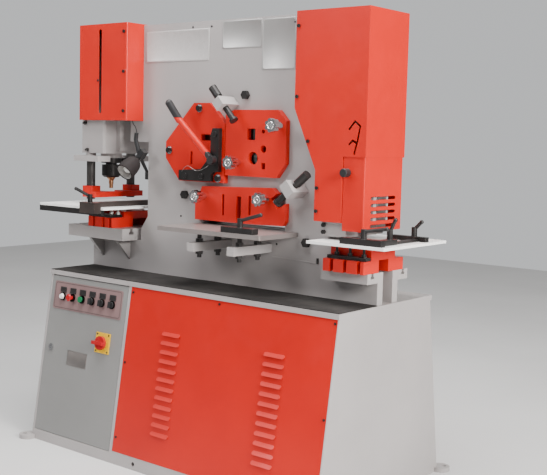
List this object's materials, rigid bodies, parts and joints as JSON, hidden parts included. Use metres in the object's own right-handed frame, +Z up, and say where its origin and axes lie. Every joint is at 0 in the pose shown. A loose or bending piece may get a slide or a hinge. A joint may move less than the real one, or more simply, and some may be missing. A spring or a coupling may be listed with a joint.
{
  "type": "hydraulic ironworker",
  "caption": "Hydraulic ironworker with a punch at one end, angle, bar and flat shears in the middle, a notcher at the other end and a louvered base cabinet.",
  "frame": {"origin": "on the floor, at the middle of the four foot holes of the base", "axes": "+X along the machine from the punch to the notcher, -Y the working side, +Z up"},
  "size_m": [1.807, 0.95, 1.83],
  "materials": {
    "warm_grey": "semi-gloss enamel",
    "door_grey": "satin enamel",
    "orange_red": "semi-gloss enamel",
    "panel_red": "semi-gloss enamel",
    "black_oxide": "oiled black oxide",
    "bright_steel": "ground",
    "tool_steel": "ground and oiled",
    "chrome": "polished",
    "rubber": "matt, creased",
    "control_face": "satin",
    "red_plastic": "gloss",
    "green_plastic": "gloss",
    "black_plastic": "satin",
    "white_plastic": "gloss",
    "yellow_plastic": "gloss",
    "punch_copper": "machined"
  },
  "bodies": {
    "machine": {"base_frame": "warm_grey", "front_panel": "panel_red", "rear_panel": "panel_red", "rubber_mat": "rubber", "oil_tank": "warm_grey", "motor_pump": "warm_grey", "front_side_plate": "warm_grey", "rear_side_plate": "warm_grey", "frame_spacers": "warm_grey", "pivot_pin": "bright_steel", "punch_cylinder": "warm_grey", "punch_cover": "orange_red", "stripper_columns": "black_oxide", "tool_bolsters": "warm_grey", "punch_die_holder": "orange_red", "punch_die": "tool_steel", "punch_table": "bright_steel", "notch_cover": "orange_red", "notch_die_holder": "orange_red", "notch_table": "bright_steel", "angle_plate": "orange_red", "angle_block": "black_oxide", "bar_plate": "orange_red", "flat_plate": "orange_red", "shear_table": "bright_steel", "shear_cylinder": "warm_grey", "lower_blades": "tool_steel", "hold_down_blocks": "warm_grey", "machine_bolts": "black_oxide", "star_knobs": "chrome", "lamp_arm": "black_plastic", "lamp_lead": "black_plastic"},
    "door": {"cabinet_door": "door_grey", "control_plate": "control_face", "door_hardware": "chrome", "switch_plate": "yellow_plastic", "pilot_lamp": "white_plastic"},
    "switch": {"switch_handle": "red_plastic"},
    "stop": {"stop_button": "red_plastic"},
    "start": {"start_button": "green_plastic"},
    "selector_1": {"selector_left": "black_plastic"},
    "selector_2": {"selector_middle": "black_plastic"},
    "selector_3": {"selector_right": "black_plastic"},
    "beam": {"swing_beam": "warm_grey", "upper_blades": "tool_steel"},
    "shear_ram": {"shear_rod": "bright_steel"},
    "notcher": {"notch_ram": "tool_steel"},
    "punch": {"punch_ram": "black_oxide", "punch_tool": "punch_copper"},
    "nut": {"coupling_nut": "black_oxide"},
    "stripper": {"punch_stripper": "orange_red"},
    "guard": {"notch_guard": "orange_red"},
    "guard_clamp": {"guard_knob": "black_plastic"},
    "lever": {"angle_lever": "orange_red"},
    "bar_clamp": {"bar_screw": "black_oxide"},
    "flat_clamp": {"flat_screw": "black_oxide"},
    "fence_punch": {"punch_fence": "black_oxide"},
    "fence_shear": {"shear_fence": "black_oxide"},
    "fence_notch": {"notch_fence": "black_oxide"},
    "shade": {"lamp_shade": "black_oxide"}
  },
  "joints": [
    {"name": "door_hinge", "type": "hinge", "parent": "machine", "child": "door", "pos_m": [-0.299, -0.42307, -0.00092], "axis": [0, 0.1525, 0.9883], "range_deg": [0, 105]},
    {"name": "switch_turn", "type": "hinge", "parent": "door", "child": "switch", "pos_m": [-0.395, -0.3659, 0.47452], "axis": [0, -0.9883, 0.1525], "range_deg": [-90, 0]},
    {"name": "stop_press", "type": "slide", "parent": "door", "child": "stop", "axis": [0, 0.9883, -0.1525], "range_m": [0, 0.006], "stiffness_N_per_m": 900, "springref_m": -0.001},
    {"name": "start_press", "type": "slide", "parent": "door", "child": "start", "axis": [0, 0.9883, -0.1525], "range_m": [0, 0.004], "stiffness_N_per_m": 900, "springref_m": -0.001},
    {"name": "selector_1_turn", "type": "hinge", "parent": "door", "child": "selector_1", "pos_m": [-0.492, -0.33976, 0.63737], "axis": [0, -0.9883, 0.1525], "range_deg": [-45, 45]},
    {"name": "selector_2_turn", "type": "hinge", "parent": "door", "child": "selector_2", "pos_m": [-0.428, -0.33976, 0.63737], "axis": [0, -0.9883, 0.1525], "range_deg": [-45, 45]},
    {"name": "selector_3_turn", "type": "hinge", "parent": "door", "child": "selector_3", "pos_m": [-0.364, -0.33976, 0.63737], "axis": [0, -0.9883, 0.1525], "range_deg": [-45, 45]},
    {"name": "beam_swing", "type": "hinge", "parent": "machine", "child": "beam", "pos_m": [-0.33, 0, 1.56], "axis": [0, 1, 0], "range_deg": [0, 2.5]},
    {"name": "shear_ram_slide", "type": "slide", "parent": "machine", "child": "shear_ram", "axis": [0, 0, -1], "range_m": [0, 0.0405]},
    {"name": "notch_ram_slide", "type": "slide", "parent": "machine", "child": "notcher", "axis": [0, 0, -1], "range_m": [0, 0.0462]},
    {"name": "punch_slide", "type": "slide", "parent": "machine", "child": "punch", "axis": [0, 0, -1], "range_m": [0, 0.09]},
    {"name": "nut_turn", "type": "hinge", "parent": "punch", "child": "nut", "pos_m": [-0.747, 0, 1.18], "axis": [0, 0, 1], "continuous": true},
    {"name": "stripper_slide", "type": "slide", "parent": "machine", "child": "stripper", "axis": [0, 0, 1], "range_m": [-0.006, 0.012]},
    {"name": "guard_slide", "type": "slide", "parent": "machine", "child": "guard", "axis": [0, 0, 1], "range_m": [0, 0.038]},
    {"name": "guard_knob_turn", "type": "hinge", "parent": "guard", "child": "guard_clamp", "pos_m": [0.67, -0.14, 1.232], "axis": [0, -1, 0], "continuous": true},
    {"name": "angle_lever_turn", "type": "hinge", "parent": "machine", "child": "lever", "pos_m": [-0.001, -0.12, 1.256], "axis": [0, 1, 0], "range_deg": [-15, 30]},
    {"name": "bar_screw_slide", "type": "slide", "parent": "machine", "child": "bar_clamp", "axis": [0.6686, 0, -0.7436], "range_m": [-0.045, 0.012]},
    {"name": "flat_screw_slide", "type": "slide", "parent": "machine", "child": "flat_clamp", "axis": [-0.7715, 0, -0.6362], "range_m": [-0.02, 0.008]},
    {"name": "punch_fence_slide", "type": "slide", "parent": "machine", "child": "fence_punch", "axis": [1, 0, 0], "range_m": [-0.06, 0.04]},
    {"name": "shear_fence_slide", "type": "slide", "parent": "machine", "child": "fence_shear", "axis": [1, 0, 0], "range_m": [-0.06, 0.06]},
    {"name": "notch_fence_slide", "type": "slide", "parent": "machine", "child": "fence_notch", "axis": [1, 0, 0], "range_m": [-0.02, 0.02]},
    {"name": "shade_tilt", "type": "hinge", "parent": "machine", "child": "shade", "pos_m": [-0.43, -0.12, 1.256], "axis": [-1, 0, 0], "range_deg": [0, 30]}
  ],
  "couplings": [
    {"joint": "shear_ram_slide", "follows": "beam_swing", "m_per_rad": 0.92},
    {"joint": "notch_ram_slide", "follows": "beam_swing", "m_per_rad": 1.05}
  ]
}
